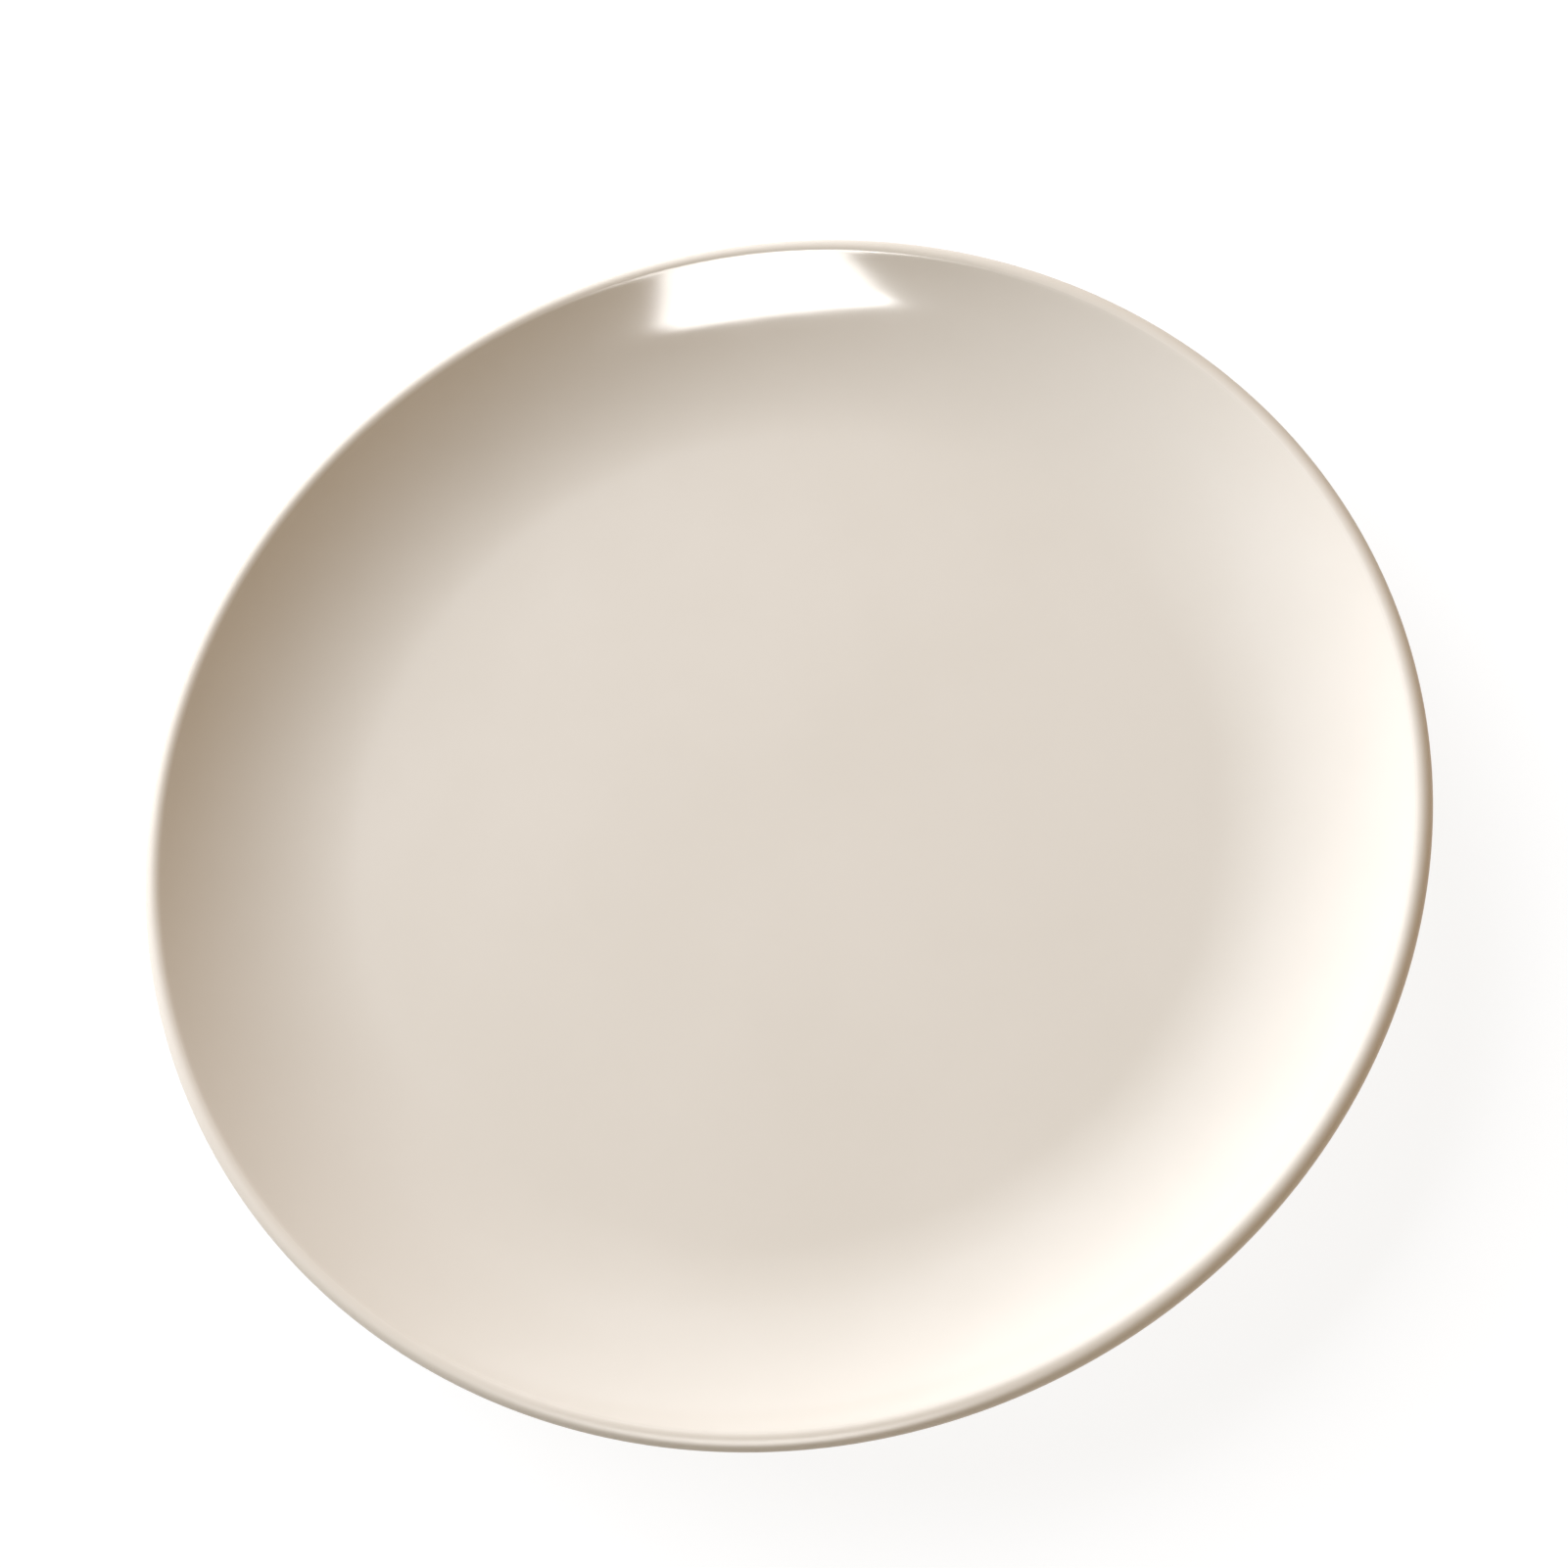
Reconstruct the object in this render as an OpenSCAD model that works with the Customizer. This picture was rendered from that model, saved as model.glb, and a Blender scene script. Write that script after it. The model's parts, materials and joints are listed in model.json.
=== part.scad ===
// Round coupe fruit plate of glazed ceramic, in millimetres.
// One clay body, pressed and fired in one piece, carries two coats of glaze:
// the face coat runs from the outside of the foot ring over the rim and across the well,
// and the base coat fills the recess inside the foot ring.
// The bottom of the foot ring stays bare, so the two coats never meet.
// The origin is on the table, at the middle of the foot ring, with +Z up.

/* [Plate] */
// Diameter over the glazed rim
rim_d = 200; // [160:1:280]
// Depth of the well below the top of the rim
well_depth = 12.5; // [9:0.5:24]
// Thickness of the floor, with the glaze on both faces
floor_t = 4.6; // [3.4:0.1:6.5]

/* [Wall and lip] */
// Width of the wall in plan, from the flat well to the edge of the rim
wall_w = 31.5; // [22:0.5:42]
// Thickness of the rounded lip, with its glaze
lip_t = 3.4; // [2.4:0.1:4.4]

/* [Foot ring] */
// Distance from the edge of the well in to the bearing face of the ring
foot_inset = 9; // [4:0.5:30]
// Width of the bare bearing face
foot_w = 3; // [2:0.1:6]
// Height of the ring below the glazed base
foot_h = 3; // [2:0.1:6]
// Draft of the sides of the ring, in degrees
foot_draft = 12; // [4:1:25]
// Chamfer along both edges of the bearing face
foot_chamfer = 0.5; // [0.2:0.1:0.8]
// Radius of the glazed fillets at the root of the ring
foot_fillet = 1; // [0.6:0.1:1.6]

/* [Glaze] */
// Thickness of the fired glaze
glaze_t = 0.35; // [0.15:0.05:0.6]
// Height of the bare clay band above the table
bare_h = 1; // [0.8:0.1:1.8]

/* [Hidden] */

$fn = 200;
glaze_colour = [0.87, 0.83, 0.79];
clay_colour = [0.84, 0.77, 0.68];

// Hair by which a blending arc runs past the line or arc that it is tangent to, so that they cut cleanly
bite = 0.002;

// Levels and radii of the finished plate
rim_r = rim_d / 2;
well_r = rim_r - wall_w;
floor_z = foot_h + floor_t;
plate_h = floor_z + well_depth;
lip_r = lip_t / 2;
lip_c = [rim_r - lip_r, plate_h - lip_r];

// Each face of the wall is one arc that leaves its level at the edge of the well and is tangent to the lip
lip_tangent_r = lip_r - 2 * bite;
wall_top_r = wall_arc_r(lip_c.y - floor_z, -lip_tangent_r);
wall_back_r = wall_arc_r(lip_c.y - foot_h, lip_tangent_r);
wall_top_c = [well_r, floor_z + wall_top_r];
wall_back_c = [well_r, foot_h + wall_back_r];

// Bearing face of the foot ring
foot_out_r = well_r - foot_inset;
foot_in_r = foot_out_r - foot_w;
foot_mid_r = (foot_out_r + foot_in_r) / 2;

// Radius of the arc that leaves the level at the well and passes the lip's middle, set higher by rise,
// keeping it a set distance inside
function wall_arc_r(rise, inside) =
    (pow(lip_c.x - well_r, 2) + pow(rise, 2) - pow(inside, 2)) / (2 * (rise - inside));

// Unit vector along v
function unit(v) = v / norm(v);

// Region of the section above one face of the dish, given its level in the well and the radius of its wall
module above_face(level, wall_r) {
    wall_c = [well_r, level + wall_r];
    translate([0, level]) square([well_r, wall_r]);
    intersection() {
        translate(wall_c) circle(wall_r);
        translate([well_r, -wall_r]) square([wall_r, wall_c.y + 2 * wall_r]);
    }
}

// Region below a ceiling that clears the well and the wall and ends at the middle of the lip
module below_ceiling() {
    clear_z = floor_z + lip_t;
    polygon([
        [0, 0], lip_c + [floor_t, -lip_c.y], lip_c + floor_t * unit(lip_c - wall_back_c), lip_c,
        lip_c - lip_t * unit(lip_c - wall_top_c), [well_r, clear_z], [0, clear_z]
    ]);
}

// Section of the well, wall and lip, with its whole surface drawn in by inset
module dish_section(inset) {
    difference() {
        intersection() {
            above_face(foot_h + inset, wall_back_r - inset);
            below_ceiling();
        }
        above_face(floor_z - inset, wall_top_r + inset);
    }
    translate(lip_c) circle(lip_r - inset);
}

// Half section of the foot ring on one side of its middle: side is 1 outside and -1 inside
module foot_side(inset, side) {
    lean = tan(foot_draft);
    coat = (glaze_t - inset) / cos(foot_draft);
    half_w = foot_w / 2;
    root_z = foot_h + inset;
    root_w = half_w + foot_chamfer + (root_z - foot_chamfer) * lean + coat;
    chamfer_w = half_w + foot_chamfer + coat;
    into_floor = floor_t / 2;
    fillet_r = foot_fillet + inset;
    fillet_run = fillet_r / tan(45 + foot_draft / 2);
    fillet_c = [root_w + fillet_run, root_z - fillet_r];
    translate([foot_mid_r, 0]) mirror([side < 0 ? 1 : 0, 0]) {
        polygon([
            [0, 0], [half_w + coat, 0], [chamfer_w, foot_chamfer],
            [root_w, root_z], [root_w, root_z + into_floor], [0, root_z + into_floor]
        ]);
        difference() {
            polygon([
                [root_w - half_w, root_z - fillet_run],
                [root_w - fillet_run * sin(foot_draft), root_z - fillet_run * cos(foot_draft)],
                fillet_c, [root_w + fillet_run, root_z],
                [root_w + fillet_run, root_z + into_floor], [root_w - half_w, root_z + into_floor]
            ]);
            translate(fillet_c) circle(fillet_r + bite);
        }
    }
}

// Section of the whole plate, with its surface drawn in by inset
module plate_section(inset) {
    dish_section(inset);
    foot_side(inset, 1);
    foot_side(inset, -1);
}

// Section of both coats of glaze, above the bare band of the foot ring
module glaze_section() {
    difference() {
        plate_section(0);
        plate_section(glaze_t);
        translate([0, -bare_h]) square([rim_r, 2 * bare_h]);
    }
}

// Region of the section that holds the recess inside the foot ring
module recess_region() {
    square([foot_mid_r, foot_h + floor_t / 2]);
}

module clay_body() {
    color(clay_colour) rotate_extrude() plate_section(glaze_t);
}

module face_glaze() {
    color(glaze_colour) rotate_extrude() difference() {
        glaze_section();
        recess_region();
    }
}

module base_glaze() {
    color(glaze_colour) rotate_extrude() intersection() {
        glaze_section();
        recess_region();
    }
}

clay_body();
face_glaze();
base_glaze();
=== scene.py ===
"""Glazed fruit plate on a pale studio floor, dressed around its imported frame.

Sizes are in metres, in the frame's own axes: +Z is up, and the origin lies on the table, in the middle of
the foot ring.
"""

import json
import logging
import math
from dataclasses import dataclass, field
from enum import Enum

import bpy
from mathutils import Matrix, Vector


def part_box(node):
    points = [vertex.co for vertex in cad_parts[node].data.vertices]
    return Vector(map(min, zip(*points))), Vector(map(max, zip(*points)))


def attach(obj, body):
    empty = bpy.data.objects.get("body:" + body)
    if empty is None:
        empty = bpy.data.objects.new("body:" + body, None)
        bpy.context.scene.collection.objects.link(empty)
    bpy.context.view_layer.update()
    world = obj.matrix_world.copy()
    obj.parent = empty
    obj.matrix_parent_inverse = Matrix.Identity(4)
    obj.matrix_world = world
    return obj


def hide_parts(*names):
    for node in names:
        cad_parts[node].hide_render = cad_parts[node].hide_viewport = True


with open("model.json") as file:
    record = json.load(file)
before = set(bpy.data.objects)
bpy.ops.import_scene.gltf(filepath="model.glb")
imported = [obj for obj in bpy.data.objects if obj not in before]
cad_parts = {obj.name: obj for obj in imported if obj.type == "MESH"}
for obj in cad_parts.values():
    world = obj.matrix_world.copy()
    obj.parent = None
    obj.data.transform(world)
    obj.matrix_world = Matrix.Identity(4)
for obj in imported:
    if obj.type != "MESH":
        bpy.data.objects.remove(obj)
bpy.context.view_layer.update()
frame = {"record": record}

MM = 0.001
MICRON = 1e-6
SAME_PLACE = 0.1 * MICRON
QUARTER_TURN = math.pi / 2
LOG = logging.getLogger("fruit_plate")

COLOUR_SOCKET = "NodeSocketColor"
VALUE_SOCKET = "NodeSocketFloat"

Colour = tuple[float, float, float]
Point = tuple[float, float, float]

# Point of the far wall that carries the sheen
SHEEN_POINT: Point = (35.0 * MM, 83.0 * MM, 16.0 * MM)


class Node(Enum):
    """Nodes of the frame that the scene's pieces stand for."""

    CLAY = "clay_body"
    FACE = "face_glaze"
    BASE = "base_glaze"


class Slot(Enum):
    """Material slots of the record."""

    CLAY = "fired_clay"
    GLAZE = "cream_glaze"


class Side(Enum):
    """Side of the foot ring, as the sign of a radius counted from the ring's middle."""

    OUTSIDE = 1
    INSIDE = -1


class LampFace(Enum):
    """Shape of a lamp's face, with its share of the rectangle round it."""

    RECTANGLE = 1.0
    ELLIPSE = math.pi / 4


class Seen(Enum):
    """What a lamp does in the studio."""

    SHADING = "lights surfaces, and leaves no mirror image in the glaze"
    MIRRORED = "shows only as a mirror image in the glaze"


@dataclass(frozen=True)
class SectionPoint:
    """Point of a half section.

    Attributes:
        radius: Distance from the axis.
        height: Distance above the table.
        slide: Move in radius and height for each metre that the glaze's edge wanders there.
    """

    radius: float
    height: float
    slide: tuple[float, float] = (0.0, 0.0)


def arc_points(centre: tuple[float, float], radius: float, start: float, stop: float,
               steps: int) -> list[SectionPoint]:
    """Points along an arc of the section.

    Args:
        centre: Radius and height of the arc's centre.
        radius: Radius of the arc.
        start: Angle of the first point, counted from outward towards up, in radians.
        stop: Angle of the last point.
        steps: Number of steps between the first and the last point.

    Returns:
        The points in order, both ends among them.
    """
    points = []
    for step in range(steps + 1):
        angle = start + (stop - start) * step / steps
        across, up = radius * math.cos(angle), radius * math.sin(angle)
        points.append(SectionPoint(centre[0] + across, centre[1] + up))
    return points


def line_points(first: tuple[float, float], last: tuple[float, float], steps: int) -> list[SectionPoint]:
    """Points along a straight stretch of the section.

    Args:
        first: Radius and height of the first point.
        last: Radius and height of the last point.
        steps: Number of steps between them.

    Returns:
        The points in order, both ends among them.
    """
    points = []
    for step in range(steps + 1):
        share = step / steps
        across, up = share * (last[0] - first[0]), share * (last[1] - first[1])
        points.append(SectionPoint(first[0] + across, first[1] + up))
    return points


def joined(*stretches: list[SectionPoint]) -> list[SectionPoint]:
    """Joins stretches of a section end to end.

    Args:
        stretches: Lists of points, each starting where the one before it ends.

    Returns:
        One list, without the points that two stretches share.
    """
    points = list(stretches[0])
    for stretch in stretches[1:]:
        for point in stretch:
            last = points[-1]
            if math.hypot(point.radius - last.radius, point.height - last.height) > SAME_PLACE:
                points.append(point)
    return points


@dataclass(frozen=True)
class SectionSteps:
    """Numbers of steps along the stretches of the section.

    Attributes:
        well: Steps across the flat well.
        wall: Steps up the inside of the wall.
        lip: Steps round the lip.
        back: Steps down the back of the wall.
        ledge: Steps across the flat base outside the foot ring.
        recess: Steps across the flat base inside the foot ring.
        fillet: Steps round a fillet at the root of the ring.
        bead: Steps round the rolled edge of the glaze.
        bearing: Steps across the bearing face.
    """

    well: int = 12
    wall: int = 44
    lip: int = 32
    back: int = 28
    ledge: int = 4
    recess: int = 10
    fillet: int = 12
    bead: int = 12
    bearing: int = 4


@dataclass(frozen=True)
class PlateSection:
    """Half section of the plate: well, wall, lip and foot ring.

    The surface at inset 0 is the glaze, and the surface at inset glaze_t is the clay under it.

    Attributes:
        rim_r: Radius over the glazed rim.
        plate_h: Height of the rim above the table.
        glaze_t: Thickness of the glaze.
        bare_h: Height of the bare clay band above the table.
        foot_h: Height of the foot ring below the glazed base.
        foot_mid_r: Radius of the middle of the ring's bearing face.
        floor_t: Thickness of the floor with the glaze on both faces.
        wall_w: Width of the wall in plan.
        lip_t: Thickness of the rounded lip.
        foot_w: Width of the bearing face.
        foot_draft: Draft of the ring's sides, in radians.
        foot_chamfer: Chamfer along the edges of the bearing face.
        foot_fillet: Radius of the glazed fillets at the root of the ring.
        bead: Thickness of the glaze's rolled edge, as a share of the glaze's thickness.
        steps: Numbers of steps along its stretches.
    """

    rim_r: float
    plate_h: float
    glaze_t: float
    bare_h: float
    foot_h: float
    foot_mid_r: float
    floor_t: float = 4.6 * MM
    wall_w: float = 31.5 * MM
    lip_t: float = 3.4 * MM
    foot_w: float = 3.0 * MM
    foot_draft: float = math.radians(12.0)
    foot_chamfer: float = 0.5 * MM
    foot_fillet: float = 1.0 * MM
    bead: float = 1.2
    steps: SectionSteps = SectionSteps()

    @classmethod
    def from_frame(cls) -> "PlateSection":
        """Section with the sizes that the frame's boxes and its mount give.

        Returns:
            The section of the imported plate.
        """
        clay_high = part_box(Node.CLAY.value)[1]
        face_low, face_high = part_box(Node.FACE.value)
        base_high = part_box(Node.BASE.value)[1]
        glaze_t = face_high.x - clay_high.x
        mount = frame["record"]["mounts"][0]
        return cls(rim_r=face_high.x, plate_h=face_high.z, glaze_t=glaze_t, bare_h=face_low.z,
                   foot_h=base_high.z - glaze_t, foot_mid_r=mount["pos_m"][0])

    @property
    def well_r(self) -> float:
        """Radius of the flat well."""
        return self.rim_r - self.wall_w

    @property
    def floor_z(self) -> float:
        """Height of the glazed floor of the well."""
        return self.foot_h + self.floor_t

    @property
    def lip_r(self) -> float:
        """Radius of the lip's round."""
        return self.lip_t / 2

    @property
    def lip_c(self) -> tuple[float, float]:
        """Radius and height of the middle of the lip's round."""
        return self.rim_r - self.lip_r, self.plate_h - self.lip_r

    def wall_arc_r(self, level: float, inside: float) -> float:
        """Radius of the arc that leaves a level at the edge of the well and passes the lip's middle.

        Args:
            level: Height of the flat face that the arc leaves.
            inside: Distance that the arc keeps the lip's middle inside its own circle.

        Returns:
            The radius of the arc.
        """
        run = self.lip_c[0] - self.well_r
        rise = self.lip_c[1] - level
        return (run ** 2 + rise ** 2 - inside ** 2) / (2 * (rise - inside))

    def lip_slope(self, wall_c: tuple[float, float]) -> float:
        """Slope of a wall arc about wall_c where it meets the lip, in radians."""
        return math.atan2(self.lip_c[0] - wall_c[0], wall_c[1] - self.lip_c[1])

    def dish(self, inset: float) -> list[SectionPoint]:
        """Surface of the well, the wall and the lip.

        Args:
            inset: Depth below the glaze's surface.

        Returns:
            Points from the axis over the lip and down the back of the wall, to the base at the well's edge.
        """
        top_r = self.wall_arc_r(self.floor_z, -self.lip_r)
        back_r = self.wall_arc_r(self.foot_h, self.lip_r)
        top_c = (self.well_r, self.floor_z + top_r)
        back_c = (self.well_r, self.foot_h + back_r)
        top_slope = self.lip_slope(top_c)
        back_slope = self.lip_slope(back_c)
        level = self.floor_z - inset
        crest, under = top_slope + QUARTER_TURN, back_slope - QUARTER_TURN
        return joined(
            line_points((0.0, level), (self.well_r, level), self.steps.well),
            arc_points(top_c, top_r + inset, -QUARTER_TURN, top_slope - QUARTER_TURN, self.steps.wall),
            arc_points(self.lip_c, self.lip_r - inset, crest, under, self.steps.lip),
            arc_points(back_c, back_r - inset, under, -QUARTER_TURN, self.steps.back),
        )

    def foot_point(self, side: Side, across: float, height: float) -> SectionPoint:
        """Point of the foot ring, given how far it lies from the ring's middle on one side."""
        return SectionPoint(self.foot_mid_r + side.value * across, height)

    def foot_root(self, side: Side, inset: float) -> list[SectionPoint]:
        """Fillet between the base and one side of the foot ring.

        Args:
            side: Side of the ring.
            inset: Depth below the glaze's surface.

        Returns:
            Points from the base to the straight side of the ring.
        """
        root_z = self.foot_h + inset
        fillet_r = self.foot_fillet + inset
        coat = (self.glaze_t - inset) / math.cos(self.foot_draft)
        spread = (root_z - self.foot_chamfer) * math.tan(self.foot_draft)
        root = self.foot_w / 2 + self.foot_chamfer + spread + coat
        middle = (root + fillet_r / math.tan((QUARTER_TURN + self.foot_draft) / 2), root_z - fillet_r)
        local = arc_points(middle, fillet_r, QUARTER_TURN, math.pi - self.foot_draft, self.steps.fillet)
        return [self.foot_point(side, point.radius, point.height) for point in local]

    def base(self, side: Side, inset: float) -> list[SectionPoint]:
        """Flat base on one side of the foot ring, and the fillet at the ring's root.

        Args:
            side: Side of the ring.
            inset: Depth below the glaze's surface.

        Returns:
            Points from the edge of the well or from the axis to the straight side of the ring.
        """
        level = self.foot_h + inset
        fillet = self.foot_root(side, inset)
        start = self.well_r if side is Side.OUTSIDE else 0.0
        steps = self.steps.ledge if side is Side.OUTSIDE else self.steps.recess
        return joined(line_points((start, level), (fillet[0].radius, level), steps), fillet)

    def rolled_edge(self, side: Side) -> list[SectionPoint]:
        """Rolled edge of the glaze on one side of the foot ring, which wanders up and down the ring.

        Args:
            side: Side of the ring.

        Returns:
            Points from the glaze's surface round the edge to the clay.
        """
        lean, rise = math.sin(self.foot_draft), math.cos(self.foot_draft)
        bead_r = self.bead * self.glaze_t / 2
        climb = (self.bare_h + bead_r * (1 + lean) - self.foot_chamfer) / rise
        foot = (self.foot_w / 2 + self.foot_chamfer + climb * lean, self.foot_chamfer + climb * rise)
        middle = (foot[0] + bead_r * rise, foot[1] - bead_r * lean)
        slide = (side.value * lean, rise)
        swell = self.foot_point(side, foot[0] + self.glaze_t * rise + 2 * bead_r * lean,
                                foot[1] - self.glaze_t * lean + 2 * bead_r * rise)
        bead = arc_points(middle, bead_r, -self.foot_draft, -self.foot_draft - math.pi, self.steps.bead)
        edge = [swell] + [self.foot_point(side, point.radius, point.height) for point in bead]
        return [SectionPoint(point.radius, point.height, slide) for point in edge]

    def bearing_face(self) -> list[SectionPoint]:
        """Chamfers and bearing face of the bare foot ring, from the outside to the inside."""
        wide = self.foot_w / 2 + self.foot_chamfer
        outer, inner = Side.OUTSIDE, Side.INSIDE
        corners = ((outer, wide, self.foot_chamfer), (outer, self.foot_w / 2, 0.0),
                   (inner, self.foot_w / 2, 0.0), (inner, wide, self.foot_chamfer))
        points = [self.foot_point(side, across, height) for side, across, height in corners]
        flat = line_points((points[1].radius, 0.0), (points[2].radius, 0.0), self.steps.bearing)
        return joined(points[:1], flat, points[3:])


@dataclass(frozen=True)
class EdgeWander:
    """How far the wiped edge of the glaze wanders up the foot ring.

    Attributes:
        reach: Farthest that the edge climbs above the lowest line.
        waves: Numbers of waves round the ring that are added up.
    """

    reach: float = 0.4 * MM
    waves: tuple[int, ...] = (2, 5, 11, 23, 41)

    def at(self, azimuth: float) -> float:
        """Climb of the edge at an azimuth.

        Args:
            azimuth: Angle round the plate's axis, in radians.

        Returns:
            The climb, from zero to the reach.
        """
        total = sum(math.sin(count * azimuth + count ** 2) / math.sqrt(count) for count in self.waves)
        most = sum(1 / math.sqrt(count) for count in self.waves)
        return self.reach * (total / most + 1) / 2


@dataclass(frozen=True)
class Wheel:
    """Turns half sections into closed meshes about the plate's axis.

    Attributes:
        segments: Number of steps round the axis.
        wander: Wander of the glaze's edge.
        crease: Angle between faces above which an edge stays sharp, in radians.
    """

    segments: int = 320
    wander: EdgeWander = EdgeWander()
    crease: float = math.radians(32.0)

    def turn(self, name: str, section: list[SectionPoint]) -> bpy.types.Object:
        """Turns a section that starts and ends on the axis.

        Args:
            name: Name of the new object.
            section: Points of the section, with the material on the right-hand side of its path.

        Returns:
            The turned object, linked to the scene.
        """
        vertices = [(0.0, 0.0, section[0].height)]
        for point in section[1:-1]:
            for step in range(self.segments):
                azimuth = 2 * math.pi * step / self.segments
                climb = self.wander.at(azimuth) if any(point.slide) else 0.0
                radius = point.radius + climb * point.slide[0]
                height = point.height + climb * point.slide[1]
                vertices.append((radius * math.cos(azimuth), radius * math.sin(azimuth), height))
        vertices.append((0.0, 0.0, section[-1].height))
        mesh = bpy.data.meshes.new(name)
        mesh.from_pydata(vertices, [], self.faces(len(section) - 2))
        mesh.shade_smooth()
        mesh.set_sharp_from_angle(angle=self.crease)
        turned = bpy.data.objects.new(name, mesh)
        bpy.context.scene.collection.objects.link(turned)
        return turned

    def faces(self, rings: int) -> list[tuple[int, ...]]:
        """Faces between the first pole, a number of rings and the last pole.

        Args:
            rings: Number of rings between the poles.

        Returns:
            The vertex numbers of each face, facing out.
        """
        last = 1 + rings * self.segments
        made = []
        for step in range(self.segments):
            here, there = step, (step + 1) % self.segments
            made.append((0, 1 + here, 1 + there))
            for ring in range(rings - 1):
                near = 1 + ring * self.segments
                far = near + self.segments
                made.append((near + here, far + here, far + there, near + there))
            rim = last - self.segments
            made.append((rim + here, last, rim + there))
        return made


def shown(colour: Colour) -> tuple[float, float, float, float]:
    """Colour with full alpha, as a socket takes it."""
    return (*colour, 1.0)


class NodeBoard:
    """Node tree with short ways to add and join its nodes.

    Attributes:
        MIX_FACTOR: Number of the factor among the inputs of a mix of colours.
        MIX_FIRST: Number of the first colour among them.
        MIX_SECOND: Number of the second colour among them.
        MIX_RESULT: Number of the mixed colour among its outputs.
        IN_PLAN: Factors that lay a position flat on the table.
    """

    MIX_FACTOR = 0
    MIX_FIRST = 6
    MIX_SECOND = 7
    MIX_RESULT = 2
    IN_PLAN = (1.0, 1.0, 0.0)

    def __init__(self, tree: bpy.types.NodeTree) -> None:
        """Takes over a tree and clears it."""
        self.tree = tree
        tree.nodes.clear()

    def add(self, kind: str, inputs: dict[str | int, object] | None = None,
            **settings: object) -> bpy.types.Node:
        """Adds a node.

        Args:
            kind: Node type, such as "ShaderNodeBump".
            inputs: Values or source sockets for the node's inputs, by name or number.
            settings: Properties to set on the node.

        Returns:
            The new node.
        """
        node = self.tree.nodes.new(kind)
        for name, value in settings.items():
            setattr(node, name, value)
        for key, value in (inputs or {}).items():
            if isinstance(value, bpy.types.NodeSocket):
                self.join(value, node, key)
            else:
                node.inputs[key].default_value = value
        return node

    def join(self, source: bpy.types.NodeSocket, node: bpy.types.Node, key: str | int) -> None:
        """Joins a source socket to an input of a node, given by name or number."""
        self.tree.links.new(source, node.inputs[key])

    def group(self, tree: bpy.types.NodeTree, inputs: dict[str | int, object]) -> bpy.types.Node:
        """Places a node group, with values or source sockets for its inputs."""
        return self.add("ShaderNodeGroup", inputs, node_tree=tree)

    def place(self) -> bpy.types.NodeSocket:
        """Position on the piece, in its own axes."""
        return self.add("ShaderNodeTexCoord").outputs["Object"]

    def from_axis(self) -> bpy.types.NodeSocket:
        """Distance from the plate's axis."""
        flat = self.add("ShaderNodeVectorMath", {0: self.place(), 1: self.IN_PLAN}, operation="MULTIPLY")
        length = self.add("ShaderNodeVectorMath", {0: flat.outputs["Vector"]}, operation="LENGTH")
        return length.outputs["Value"]

    def calc(self, operation: str, *values: object) -> bpy.types.NodeSocket:
        """Result of a calculation with values or source sockets."""
        return self.add("ShaderNodeMath", dict(enumerate(values)), operation=operation).outputs[0]

    def mix(self, factor: object, first: object, second: object) -> bpy.types.NodeSocket:
        """Colour that goes from the first to the second as the factor goes from 0 to 1."""
        inputs = {self.MIX_FACTOR: factor, self.MIX_FIRST: first, self.MIX_SECOND: second}
        return self.add("ShaderNodeMix", inputs, data_type="RGBA").outputs[self.MIX_RESULT]

    def ramp(self, value: object, start: object, stop: object, low: object = 0.0,
             high: object = 1.0) -> bpy.types.NodeSocket:
        """Value that goes smoothly from low to high as another goes from start to stop.

        Args:
            value: The value that leads.
            start: Its value at the low end.
            stop: Its value at the high end.
            low: Result at the low end.
            high: Result at the high end.

        Returns:
            The socket that gives the result.
        """
        inputs = {"Value": value, "From Min": start, "From Max": stop, "To Min": low, "To Max": high}
        return self.add("ShaderNodeMapRange", inputs, interpolation_type="SMOOTHSTEP").outputs["Result"]

    def blend(self, factor: bpy.types.NodeSocket, first: bpy.types.Node,
              second: bpy.types.Node) -> bpy.types.Node:
        """Shader that goes from the first to the second as the factor goes from 0 to 1."""
        return self.add("ShaderNodeMixShader", {0: factor, 1: first.outputs[0], 2: second.outputs[0]})

    def looked_at(self) -> bpy.types.NodeSocket:
        """1 for a ray that looks, straight or by a mirror or glass, and 0 for one that gathers light."""
        path = self.add("ShaderNodeLightPath").outputs
        mirrored = self.calc("MAXIMUM", path["Is Camera Ray"], path["Is Glossy Ray"])
        return self.calc("MAXIMUM", mirrored, path["Is Transmission Ray"])


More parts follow.
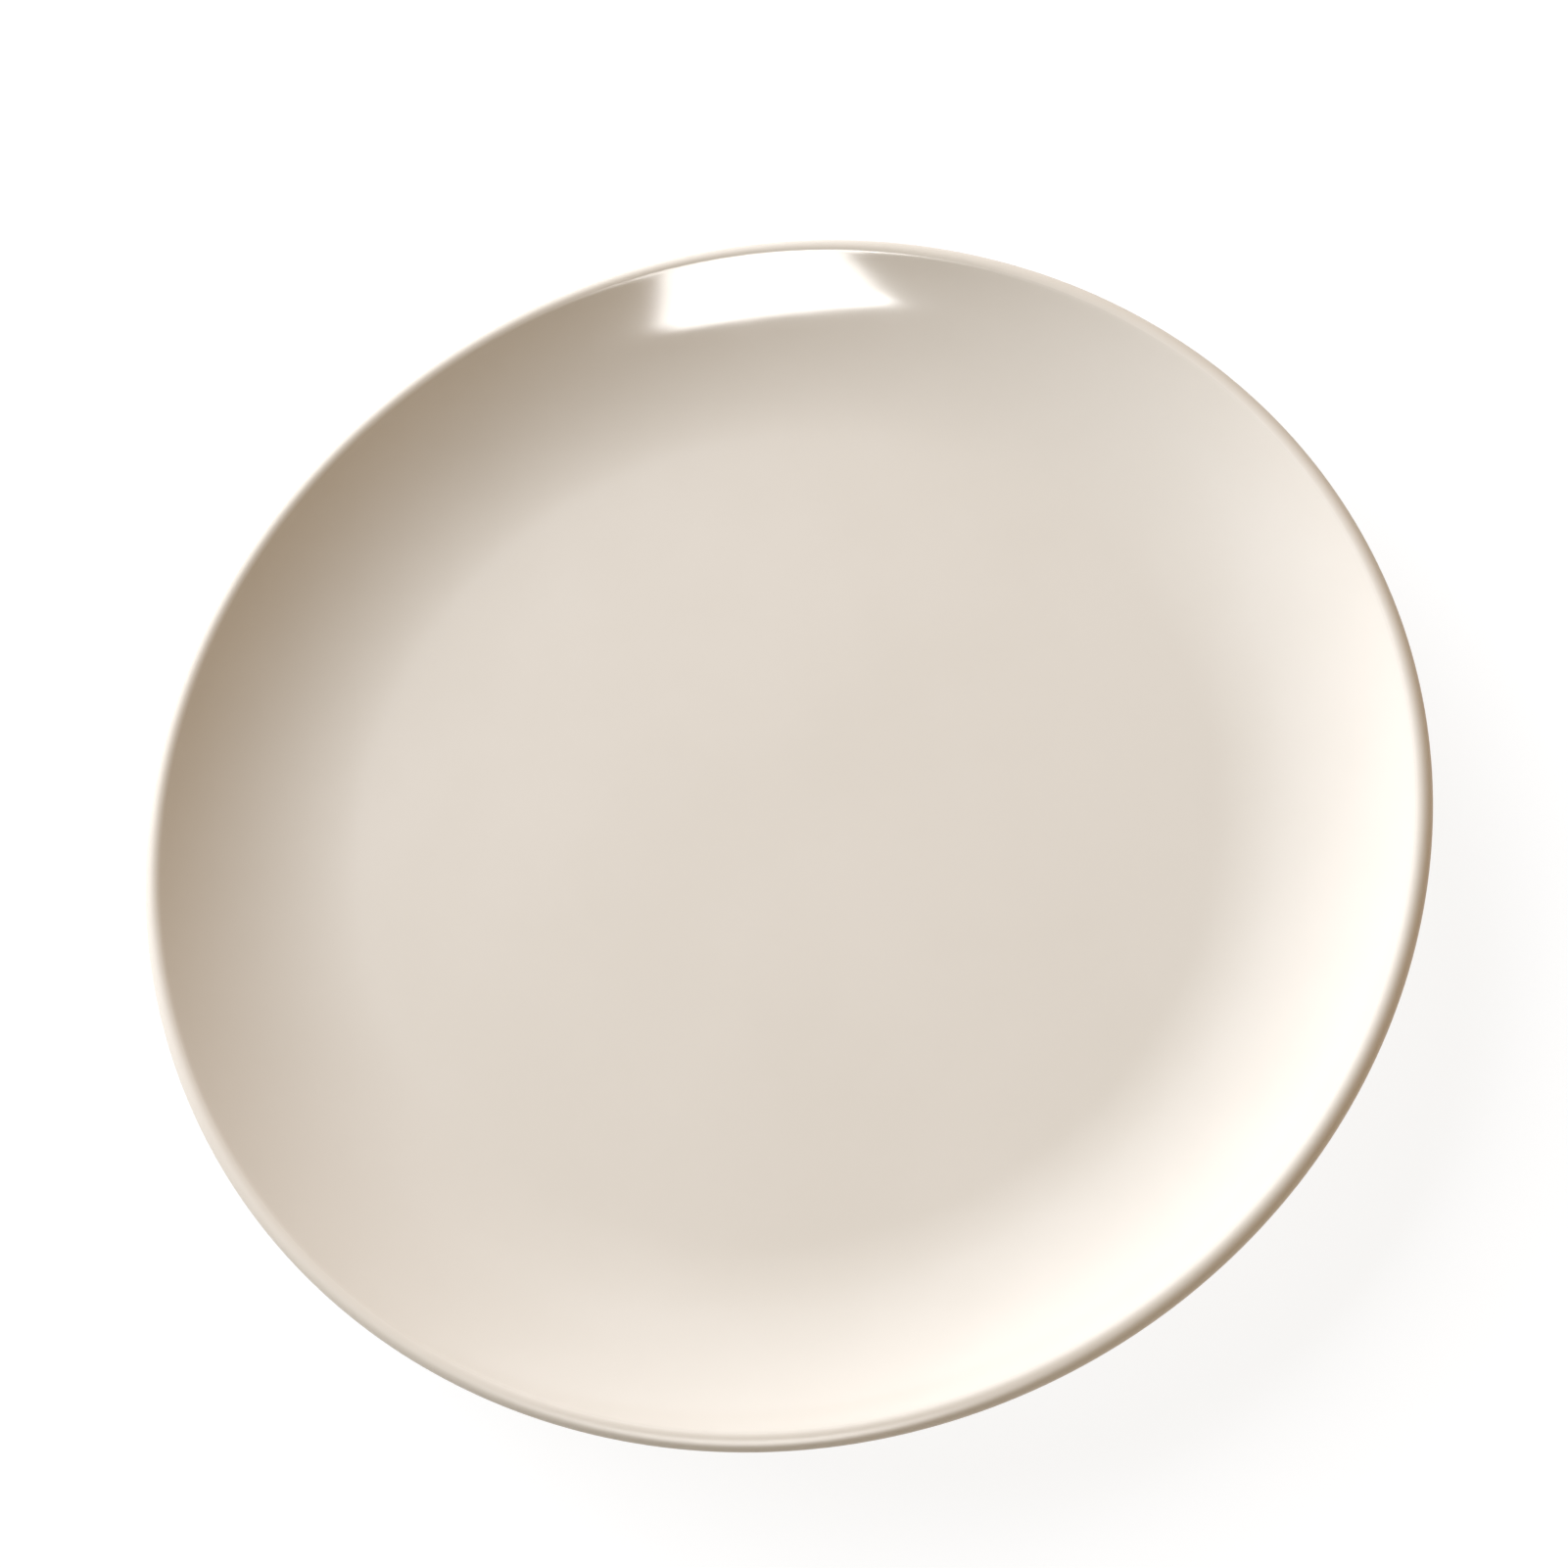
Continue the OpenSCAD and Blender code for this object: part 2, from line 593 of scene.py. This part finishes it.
@dataclass
class Effects:
    """Node groups for the effects that the finishes share, each built once.

    Attributes:
        cloud_detail: Octaves of the mottling.
        cloud_roughness: Share that each octave keeps of the one before.
        cloud_span: Values of the noise between which the mottling changes.
        wave_detail: Octaves of the long ripple.
        fine_detail: Octaves of the fine ripple.
        crest_w: Width of the even part of the lip's crest, as a share of the lip's thickness.
        mottle: Cloudy change between two colours.
        specks: Small round specks.
        peel: Ripple of a surface.
        low_edge: Mask of a low band of the plate.
        lip_crest: Mask of the crest of the lip.
    """

    cloud_detail: float = 4.0
    cloud_roughness: float = 0.55
    cloud_span: tuple[float, float] = (0.3, 0.7)
    wave_detail: float = 1.0
    fine_detail: float = 2.0
    crest_w: float = 0.4
    mottle: bpy.types.NodeTree = field(init=False)
    specks: bpy.types.NodeTree = field(init=False)
    peel: bpy.types.NodeTree = field(init=False)
    low_edge: bpy.types.NodeTree = field(init=False)
    lip_crest: bpy.types.NodeTree = field(init=False)

    def __post_init__(self) -> None:
        """Builds the groups."""
        self.mottle = self.mottle_group()
        self.specks = self.specks_group()
        self.peel = self.peel_group()
        self.low_edge = self.low_edge_group()
        self.lip_crest = self.lip_crest_group()

    @staticmethod
    def new_group(name: str, takes: dict[str, str], gives: dict[str, str]) -> tuple[
            NodeBoard, dict[str, bpy.types.NodeSocket], bpy.types.Node]:
        """Starts a node group.

        Args:
            name: Name of the group.
            takes: Input sockets, name to socket type.
            gives: Output sockets, name to socket type.

        Returns:
            The group's board, its input sockets by name, and its output node.
        """
        tree = bpy.data.node_groups.new(name, "ShaderNodeTree")
        board = NodeBoard(tree)
        for label, kind in takes.items():
            tree.interface.new_socket(label, in_out="INPUT", socket_type=kind)
        for label, kind in gives.items():
            tree.interface.new_socket(label, in_out="OUTPUT", socket_type=kind)
        entry = board.add("NodeGroupInput")
        sockets = {label: entry.outputs[label] for label in takes}
        return board, sockets, board.add("NodeGroupOutput")

    def mottle_group(self) -> bpy.types.NodeTree:
        """Cloudy change between two colours, as the fire leaves it, and the cloud as a mask.

        Returns:
            The group, with inputs Light, Dark and Scale and outputs Color and Mask.
        """
        takes = {"Light": COLOUR_SOCKET, "Dark": COLOUR_SOCKET, "Scale": VALUE_SOCKET}
        gives = {"Color": COLOUR_SOCKET, "Mask": VALUE_SOCKET}
        board, given, leave = self.new_group("Kiln mottle", takes, gives)
        cloud = board.add("ShaderNodeTexNoise", {
            "Vector": board.place(),
            "Scale": given["Scale"],
            "Detail": self.cloud_detail,
            "Roughness": self.cloud_roughness,
        })
        mask = board.ramp(cloud.outputs["Fac"], *self.cloud_span)
        board.join(board.mix(mask, given["Dark"], given["Light"]), leave, "Color")
        board.join(mask, leave, "Mask")
        return board.tree

    def specks_group(self) -> bpy.types.NodeTree:
        """Small round specks, such as grains of sand.

        Returns:
            The group, with inputs Scale, Size and Share and output Mask.
        """
        takes = {"Scale": VALUE_SOCKET, "Size": VALUE_SOCKET, "Share": VALUE_SOCKET}
        board, given, leave = self.new_group("Specks", takes, {"Mask": VALUE_SOCKET})
        cells = board.add("ShaderNodeTexVoronoi", {"Vector": board.place(), "Scale": given["Scale"]})
        dot = board.ramp(cells.outputs["Distance"], 0.0, given["Size"], 1.0, 0.0)
        draw = board.add("ShaderNodeSeparateColor", {"Color": cells.outputs["Color"]}).outputs["Red"]
        picked = board.calc("LESS_THAN", draw, given["Share"])
        board.join(board.calc("MULTIPLY", dot, picked), leave, "Mask")
        return board.tree

    def peel_group(self) -> bpy.types.NodeTree:
        """Faint ripple of a fired or pressed surface, a long wave with a finer one on it.

        Returns:
            The group, with inputs Scale, Fine Scale and Fine Share and output Height.
        """
        takes = {"Scale": VALUE_SOCKET, "Fine Scale": VALUE_SOCKET, "Fine Share": VALUE_SOCKET}
        board, given, leave = self.new_group("Surface peel", takes, {"Height": VALUE_SOCKET})
        place = board.place()
        long_wave = {"Vector": place, "Scale": given["Scale"], "Detail": self.wave_detail}
        fine_wave = {"Vector": place, "Scale": given["Fine Scale"], "Detail": self.fine_detail}
        wave = board.add("ShaderNodeTexNoise", long_wave)
        fine = board.add("ShaderNodeTexNoise", fine_wave)
        height = board.calc("MULTIPLY_ADD", fine.outputs["Fac"], given["Fine Share"], wave.outputs["Fac"])
        board.join(height, leave, "Height")
        return board.tree

    def low_edge_group(self) -> bpy.types.NodeTree:
        """Mask of a low band of the plate, from its bottom edge up.

        Returns:
            The group, with inputs Bottom and Reach and output Mask.
        """
        takes = {"Bottom": VALUE_SOCKET, "Reach": VALUE_SOCKET}
        board, given, leave = self.new_group("Low edge", takes, {"Mask": VALUE_SOCKET})
        height = board.add("ShaderNodeSeparateXYZ", {"Vector": board.place()}).outputs["Z"]
        top = board.calc("ADD", given["Bottom"], given["Reach"])
        board.join(board.ramp(height, given["Bottom"], top, 1.0, 0.0), leave, "Mask")
        return board.tree

    def lip_crest_group(self) -> bpy.types.NodeTree:
        """Mask of the crest of the lip, which fades down both of its sides.

        Returns:
            The group, with inputs Rim and Lip and output Mask.
        """
        takes = {"Rim": VALUE_SOCKET, "Lip": VALUE_SOCKET}
        board, given, leave = self.new_group("Lip crest", takes, {"Mask": VALUE_SOCKET})
        start = board.calc("SUBTRACT", given["Rim"], given["Lip"])
        stop = board.calc("MULTIPLY_ADD", given["Lip"], -self.crest_w, given["Rim"])
        board.join(board.ramp(board.from_axis(), start, stop), leave, "Mask")
        return board.tree


@dataclass(frozen=True)
class Peel:
    """Ripple of a surface: a long wave with a finer one on it.

    Attributes:
        scale: Long waves per metre.
        fine_scale: Fine waves per metre.
        fine_share: Height of the fine waves, as a share of the long ones.
        depth: Height of the long waves.
    """

    scale: float
    fine_scale: float
    fine_share: float
    depth: float

    def normal(self, board: NodeBoard, effects: Effects) -> bpy.types.NodeSocket:
        """Adds the ripple to a material.

        Args:
            board: Nodes of the material.
            effects: Shared node groups.

        Returns:
            The socket that gives the rippled normal.
        """
        inputs = {"Scale": self.scale, "Fine Scale": self.fine_scale, "Fine Share": self.fine_share}
        height = board.group(effects.peel, inputs).outputs["Height"]
        bump = board.add("ShaderNodeBump", {"Strength": 1.0, "Distance": self.depth, "Height": height})
        return bump.outputs["Normal"]


@dataclass(frozen=True)
class Specks:
    """Small specks in a surface.

    Attributes:
        scale: Cells per metre, of which some hold a speck.
        size: Radius of a speck, as a share of its cell.
        share: Share of the cells that hold one.
        colour: Colour of the specks.
    """

    scale: float
    size: float
    share: float
    colour: Colour

    def over(self, board: NodeBoard, effects: Effects,
             ground: bpy.types.NodeSocket) -> bpy.types.NodeSocket:
        """Adds the specks to a material.

        Args:
            board: Nodes of the material.
            effects: Shared node groups.
            ground: Colour between the specks.

        Returns:
            The socket that gives the speckled colour.
        """
        inputs = {"Scale": self.scale, "Size": self.size, "Share": self.share}
        mask = board.group(effects.specks, inputs).outputs["Mask"]
        return board.mix(mask, ground, shown(self.colour))


def new_material(name: str) -> tuple[bpy.types.Material, NodeBoard]:
    """Starts a material.

    Args:
        name: Name of the material.

    Returns:
        The material and the board of its nodes.
    """
    made = bpy.data.materials.new(name)
    made.use_nodes = True
    return made, NodeBoard(made.node_tree)


@dataclass(frozen=True)
class GlazeFinish:
    """Smooth glossy glaze, with the faint mottling of the fire.

    Attributes:
        name: Name of the material.
        light: Lighter colour of the glaze.
        dark: Darker colour of the glaze.
        mottle_scale: Clouds per metre.
        thin: Colour where the glaze thins over an edge and the clay shows through.
        thin_reach: Height over which the glaze thins towards its lower edge.
        lip_thin: Share of the thin colour on the crest of the lip.
        lip_satin: Roughness that the thin glaze of the crest has over that of the rest.
        gloss: Lowest and highest roughness.
        ior: Index of refraction.
        peel: Ripple of the surface.
        specks: Faint specks of iron in the glaze.
    """

    name: str
    light: Colour = (0.705, 0.645, 0.565)
    dark: Colour = (0.69, 0.63, 0.548)
    mottle_scale: float = 26.0
    thin: Colour = (0.60, 0.50, 0.385)
    thin_reach: float = 0.9 * MM
    lip_thin: float = 0.15
    lip_satin: float = 0.35
    gloss: tuple[float, float] = (0.10, 0.13)
    ior: float = 1.52
    peel: Peel = Peel(scale=60.0, fine_scale=420.0, fine_share=0.06, depth=14.0 * MICRON)
    specks: Specks = Specks(scale=400.0, size=0.05, share=0.12, colour=(0.65, 0.585, 0.50))

    def material(self, effects: Effects, section: PlateSection) -> bpy.types.Material:
        """Builds the glaze's material.

        Args:
            effects: Shared node groups.
            section: Section of the plate, for the places where the glaze thins.

        Returns:
            The material.
        """
        made, board = new_material(self.name)
        clouds = {"Light": shown(self.light), "Dark": shown(self.dark), "Scale": self.mottle_scale}
        mottle = board.group(effects.mottle, clouds)
        edge = board.group(effects.low_edge, {"Bottom": section.bare_h, "Reach": self.thin_reach})
        crest = board.group(effects.lip_crest, {"Rim": section.rim_r, "Lip": section.lip_t}).outputs["Mask"]
        thinned = board.calc("MAXIMUM", edge.outputs["Mask"], board.calc("MULTIPLY", crest, self.lip_thin))
        colour = board.mix(thinned, mottle.outputs["Color"], shown(self.thin))
        gloss = board.ramp(mottle.outputs["Mask"], 0.0, 1.0, *self.gloss)
        shader = board.add("ShaderNodeBsdfPrincipled", {
            "Base Color": self.specks.over(board, effects, colour),
            "Roughness": board.calc("MULTIPLY_ADD", crest, self.lip_satin, gloss),
            "IOR": self.ior,
            "Normal": self.peel.normal(board, effects),
        })
        board.add("ShaderNodeOutputMaterial", {"Surface": shader.outputs["BSDF"]})
        return made


@dataclass(frozen=True)
class ClayFinish:
    """Bare fired clay, fine and slightly sandy.

    Attributes:
        name: Name of the material.
        light: Lighter colour of the clay.
        dark: Darker colour of the clay.
        mottle_scale: Clouds per metre.
        rubbed: Colour that the bearing face takes from the tables it has stood on.
        roughness: Lowest and highest roughness.
        peel: Sandy surface.
        sand: Grains of sand in the clay.
    """

    name: str
    light: Colour = (0.74, 0.64, 0.52)
    dark: Colour = (0.66, 0.55, 0.43)
    mottle_scale: float = 140.0
    rubbed: Colour = (0.56, 0.48, 0.39)
    roughness: tuple[float, float] = (0.72, 0.9)
    peel: Peel = Peel(scale=900.0, fine_scale=3600.0, fine_share=0.6, depth=60.0 * MICRON)
    sand: Specks = Specks(scale=1800.0, size=0.42, share=0.16, colour=(0.40, 0.30, 0.21))

    def material(self, effects: Effects, section: PlateSection) -> bpy.types.Material:
        """Builds the clay's material.

        Args:
            effects: Shared node groups.
            section: Section of the plate, for the height of the rubbed band.

        Returns:
            The material.
        """
        made, board = new_material(self.name)
        clouds = {"Light": shown(self.light), "Dark": shown(self.dark), "Scale": self.mottle_scale}
        mottle = board.group(effects.mottle, clouds)
        rub = board.group(effects.low_edge, {"Bottom": 0.0, "Reach": section.foot_chamfer})
        colour = board.mix(rub.outputs["Mask"], mottle.outputs["Color"], shown(self.rubbed))
        shader = board.add("ShaderNodeBsdfPrincipled", {
            "Base Color": self.sand.over(board, effects, colour),
            "Roughness": board.ramp(mottle.outputs["Mask"], 0.0, 1.0, *self.roughness),
            "Normal": self.peel.normal(board, effects),
        })
        board.add("ShaderNodeOutputMaterial", {"Surface": shader.outputs["BSDF"]})
        return made


@dataclass(frozen=True)
class FloorFinish:
    """Plain pale floor that shows white and keeps a soft shadow.

    Attributes:
        name: Name of the material.
        glow: Levels that the floor shows under the plate and round it, without any light on it.
        shadow: Shares of light and shadow that it takes under the plate and round it.
        brim: Distances from the plate's axis between which those under the plate change to those round it.
        fade: Distances from the axis between which the level rises to white.
        bounce: Colour of the floor as it throws light back onto the plate.
        under: Light that the floor throws up even where the plate shades it.
    """

    name: str = "pale_floor"
    glow: tuple[float, float] = (0.55, 0.88)
    shadow: tuple[float, float] = (0.46, 0.18)
    brim: tuple[float, float] = (70.0 * MM, 92.0 * MM)
    fade: tuple[float, float] = (0.3, 0.9)
    bounce: Colour = (0.42, 0.40, 0.37)
    under: Colour = (0.28, 0.262, 0.236)

    def material(self) -> bpy.types.Material:
        """Builds the floor's material, which is clear from below.

        Returns:
            The material.
        """
        made, board = new_material(self.name)
        away = board.from_axis()
        inner = board.ramp(away, *self.brim, self.glow[0], 1.0)
        outer = board.ramp(away, *self.fade, self.glow[1], 1.0)
        glow = board.add("ShaderNodeEmission", {"Strength": board.calc("MINIMUM", inner, outer)})
        shadow = board.add("ShaderNodeBsdfDiffuse", {"Color": board.ramp(away, *self.brim, *self.shadow)})
        white = board.add("ShaderNodeAddShader", {0: glow.outputs[0], 1: shadow.outputs[0]})
        lit = board.add("ShaderNodeBsdfDiffuse", {"Color": shown(self.bounce)})
        under = board.add("ShaderNodeEmission", {"Color": shown(self.under)})
        bounce = board.add("ShaderNodeAddShader", {0: lit.outputs[0], 1: under.outputs[0]})
        upper = board.blend(board.looked_at(), bounce, white)
        below = board.add("ShaderNodeNewGeometry").outputs["Backfacing"]
        clear = board.add("ShaderNodeBsdfTransparent")
        both = board.blend(below, upper, clear)
        board.add("ShaderNodeOutputMaterial", {"Surface": both.outputs[0]})
        return made


@dataclass
class PlatePiece:
    """Piece of the plate that stands for one node of the frame.

    Attributes:
        section: Section of the plate.
        wheel: Wheel that turns it.
    """

    section: PlateSection
    wheel: Wheel

    def place(self, piece: bpy.types.Object, material: bpy.types.Material, node: Node,
              slot: Slot) -> bpy.types.Object:
        """Dresses a piece and ties it to the frame.

        Args:
            piece: The piece.
            material: Its finish.
            node: Node that it stands for.
            slot: Slot of the record; not used.

        Returns:
            The same piece.
        """
        piece.data.materials.append(material)
        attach(piece, "root")
        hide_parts(node.value)
        LOG.info("%s: %d faces, for %s", piece.name, len(piece.data.polygons), node.value)
        return piece


@dataclass
class ClayBody(PlatePiece):
    """Pressed and fired body with its foot ring, bare only at the bottom of the ring."""

    def build(self, material: bpy.types.Material) -> bpy.types.Object:
        """Builds and dresses the body.

        Args:
            material: Its finish.

        Returns:
            The body.
        """
        inset = self.section.glaze_t
        outline = joined(
            self.section.dish(inset),
            self.section.base(Side.OUTSIDE, inset),
            self.section.bearing_face(),
            self.section.base(Side.INSIDE, inset)[::-1],
        )
        return self.place(self.wheel.turn("fired_body", outline), material, Node.CLAY, Slot.CLAY)


@dataclass
class FaceCoat(PlatePiece):
    """Coat of glaze over the well, the wall and the lip, down to the outside of the foot ring."""

    def build(self, material: bpy.types.Material) -> bpy.types.Object:
        """Builds and dresses the coat.

        Args:
            material: Its finish.

        Returns:
            The coat.
        """
        inset = self.section.glaze_t
        outline = joined(
            self.section.dish(0.0),
            self.section.base(Side.OUTSIDE, 0.0),
            self.section.rolled_edge(Side.OUTSIDE),
            self.section.base(Side.OUTSIDE, inset)[::-1],
            self.section.dish(inset)[::-1],
        )
        return self.place(self.wheel.turn("face_coat", outline), material, Node.FACE, Slot.GLAZE)


@dataclass
class BaseCoat(PlatePiece):
    """Coat of glaze in the recess inside the foot ring."""

    def build(self, material: bpy.types.Material) -> bpy.types.Object:
        """Builds and dresses the coat.

        Args:
            material: Its finish.

        Returns:
            The coat.
        """
        inset = self.section.glaze_t
        outline = joined(
            self.section.base(Side.INSIDE, inset),
            self.section.rolled_edge(Side.INSIDE)[::-1],
            self.section.base(Side.INSIDE, 0.0)[::-1],
        )
        return self.place(self.wheel.turn("base_coat", outline), material, Node.BASE, Slot.GLAZE)


@dataclass(frozen=True)
class PlateCamera:
    """Camera that looks down into the well from the near side, rolled as the view is.

    Attributes:
        distance: Distance from the middle of the rim.
        elevation: Height above the rim's plane, in radians.
        roll: Turn about the line of sight, in radians.
        aim: Point of the rim's plane in the middle of the view, from the plate's axis.
        lens: Focal length, in the camera's millimetres.
        nearest: Distance from which the camera sees.
    """

    distance: float = 0.38
    elevation: float = math.radians(64.963)
    roll: float = math.radians(-22.998)
    aim: tuple[float, float] = (2.95 * MM, -1.72 * MM)
    lens: float = 56.824
    nearest: float = 10.0 * MM

    def build(self, rim_height: float) -> bpy.types.Object:
        """Places the camera and makes it the scene's own.

        Args:
            rim_height: Height of the rim's plane.

        Returns:
            The camera.
        """
        middle = Vector((0.0, 0.0, rim_height))
        away = Vector((0.0, -math.cos(self.elevation), math.sin(self.elevation)))
        place = middle + self.distance * away
        forward = (middle + Vector((*self.aim, 0.0)) - place).normalized()
        level = forward.cross(Vector((0.0, 0.0, 1.0))).normalized()
        upright = level.cross(forward)
        right = math.cos(self.roll) * level + math.sin(self.roll) * upright
        up = math.cos(self.roll) * upright - math.sin(self.roll) * level
        data = bpy.data.cameras.new("plate_camera")
        data.lens = self.lens
        data.clip_start = self.nearest
        camera = bpy.data.objects.new("plate_camera", data)
        turned = Matrix((right, up, -forward)).transposed().to_4x4()
        camera.matrix_world = Matrix.Translation(place) @ turned
        bpy.context.scene.collection.objects.link(camera)
        bpy.context.scene.camera = camera
        return camera


@dataclass(frozen=True)
class Softbox:
    """Flat studio lamp that faces the plate.

    Attributes:
        name: Name of the lamp.
        seen: What the lamp does.
        azimuth: Direction of the lamp round the plate, from +X towards +Y, in degrees.
        elevation: Height of the lamp above the horizon, in degrees.
        distance: Distance from the plate.
        size: Width and height.
        brightness: Brightness of the lamp's face, where 1 is white.
        colour: Colour of its light.
        face: Shape of the lamp's face.
        turn: Turn of the lamp about its own axis, in degrees.
        shift: Move of the lamp in the plane of its face, to its right and up, before it is turned.
        target: Point that it faces.
    """

    name: str
    seen: Seen
    azimuth: float
    elevation: float
    distance: float
    size: tuple[float, float]
    brightness: float
    colour: Colour = (1.0, 1.0, 1.0)
    face: LampFace = LampFace.RECTANGLE
    turn: float = 0.0
    shift: tuple[float, float] = (0.0, 0.0)
    target: Point = (0.0, 0.0, 10.0 * MM)

    def power(self) -> float:
        """Power that gives the lamp's face its brightness, in watts."""
        return self.brightness * math.pi * self.face.value * self.size[0] * self.size[1]

    def build(self) -> bpy.types.Object:
        """Hangs the lamp in the studio.

        Returns:
            The lamp.
        """
        azimuth, elevation = math.radians(self.azimuth), math.radians(self.elevation)
        out = Vector((math.cos(azimuth) * math.cos(elevation), math.sin(azimuth) * math.cos(elevation),
                      math.sin(elevation)))
        data = bpy.data.lights.new(self.name, "AREA")
        data.shape = self.face.name
        data.size, data.size_y = self.size
        data.energy = self.power()
        data.color = self.colour
        lamp = bpy.data.objects.new(self.name, data)
        facing = (-out).to_track_quat("-Z", "Y").to_matrix().to_4x4()
        place = Matrix.Translation(Vector(self.target) + self.distance * out) @ facing
        turned = Matrix.Rotation(math.radians(self.turn), 4, "Z")
        lamp.matrix_world = place @ Matrix.Translation((*self.shift, 0.0)) @ turned
        lamp.visible_camera = False
        lamp.visible_diffuse = self.seen is Seen.SHADING
        lamp.visible_glossy = self.seen is Seen.MIRRORED
        bpy.context.scene.collection.objects.link(lamp)
        return lamp


@dataclass
class Studio:
    """White studio round the plate: floor, soft fill from all sides, lamps and view settings.

    Attributes:
        floor: Finish of the floor.
        floor_w: Width of the floor.
        backdrop: Colour of the surroundings, as they are looked at.
        fill: Colour of the light that comes from all sides.
        fill_level: Level of that light.
        lamps: Lamps of the studio.
    """

    floor: FloorFinish = FloorFinish()
    floor_w: float = 12.0
    backdrop: Colour = (1.0, 1.0, 1.0)
    fill: Colour = (1.0, 0.75, 0.33)
    fill_level: float = 0.20
    lamps: tuple[Softbox, ...] = (
        Softbox("window_key", Seen.SHADING, azimuth=116.0, elevation=30.0, distance=1.3, size=(1.82, 1.43),
                brightness=5.9, colour=(0.845, 0.897, 1.0)),
        Softbox("near_fill", Seen.SHADING, azimuth=-120.0, elevation=15.0, distance=1.3, size=(0.6, 0.6),
                brightness=1.5, colour=(0.67, 0.8, 1.0)),
        Softbox("side_fill", Seen.SHADING, azimuth=-30.0, elevation=15.0, distance=1.3, size=(0.6, 0.6),
                brightness=2.0, colour=(1.0, 0.55, 0.25)),
        Softbox("wall_sheen", Seen.MIRRORED, azimuth=-125.1, elevation=49.7, distance=1.0,
                size=(0.371, 0.635), brightness=20.0, turn=14.2, shift=(0.0475, -0.171),
                target=SHEEN_POINT),
        Softbox("wall_sheen_arch", Seen.MIRRORED, azimuth=-125.1, elevation=49.7, distance=0.999,
                size=(0.353, 0.132), brightness=20.0, face=LampFace.ELLIPSE, turn=25.9,
                shift=(-0.037, 0.129), target=SHEEN_POINT),
    )

    def build(self) -> None:
        """Lays the floor, hangs the lamps and sets the surroundings."""
        self.lay_floor()
        self.surround()
        for lamp in self.lamps:
            lamp.build()
            LOG.info("%s: %.1f W", lamp.name, lamp.power())
        bpy.context.scene.view_settings.view_transform = "Standard"

    def lay_floor(self) -> bpy.types.Object:
        """Lays the floor at the height of the table.

        Returns:
            The floor.
        """
        half = self.floor_w / 2
        mesh = bpy.data.meshes.new("studio_floor")
        corners = [(-half, -half, 0.0), (half, -half, 0.0), (half, half, 0.0), (-half, half, 0.0)]
        mesh.from_pydata(corners, [], [(0, 1, 2, 3)])
        mesh.materials.append(self.floor.material())
        floor = bpy.data.objects.new("studio_floor", mesh)
        bpy.context.scene.collection.objects.link(floor)
        return floor

    def surround(self) -> None:
        """Makes the world white to look at and a soft warm fill to be lit by."""
        world = bpy.data.worlds.new("white_studio")
        world.use_nodes = True
        board = NodeBoard(world.node_tree)
        fill = board.add("ShaderNodeBackground", {"Color": shown(self.fill), "Strength": self.fill_level})
        white = board.add("ShaderNodeBackground", {"Color": shown(self.backdrop)})
        both = board.blend(board.looked_at(), fill, white)
        board.add("ShaderNodeOutputWorld", {"Surface": both.outputs[0]})
        bpy.context.scene.world = world


def main() -> None:
    """Builds the plate's pieces in order, then the studio round it."""
    logging.basicConfig(level=logging.INFO, format="%(name)s: %(message)s")
    section = PlateSection.from_frame()
    wheel = Wheel()
    effects = Effects()
    ClayBody(section, wheel).build(ClayFinish("bare_clay").material(effects, section))
    FaceCoat(section, wheel).build(GlazeFinish("cream_glaze_face").material(effects, section))
    BaseCoat(section, wheel).build(GlazeFinish("cream_glaze_base").material(effects, section))
    Studio().build()
    PlateCamera().build(section.plate_h)


if __name__ == "__main__":
    main()
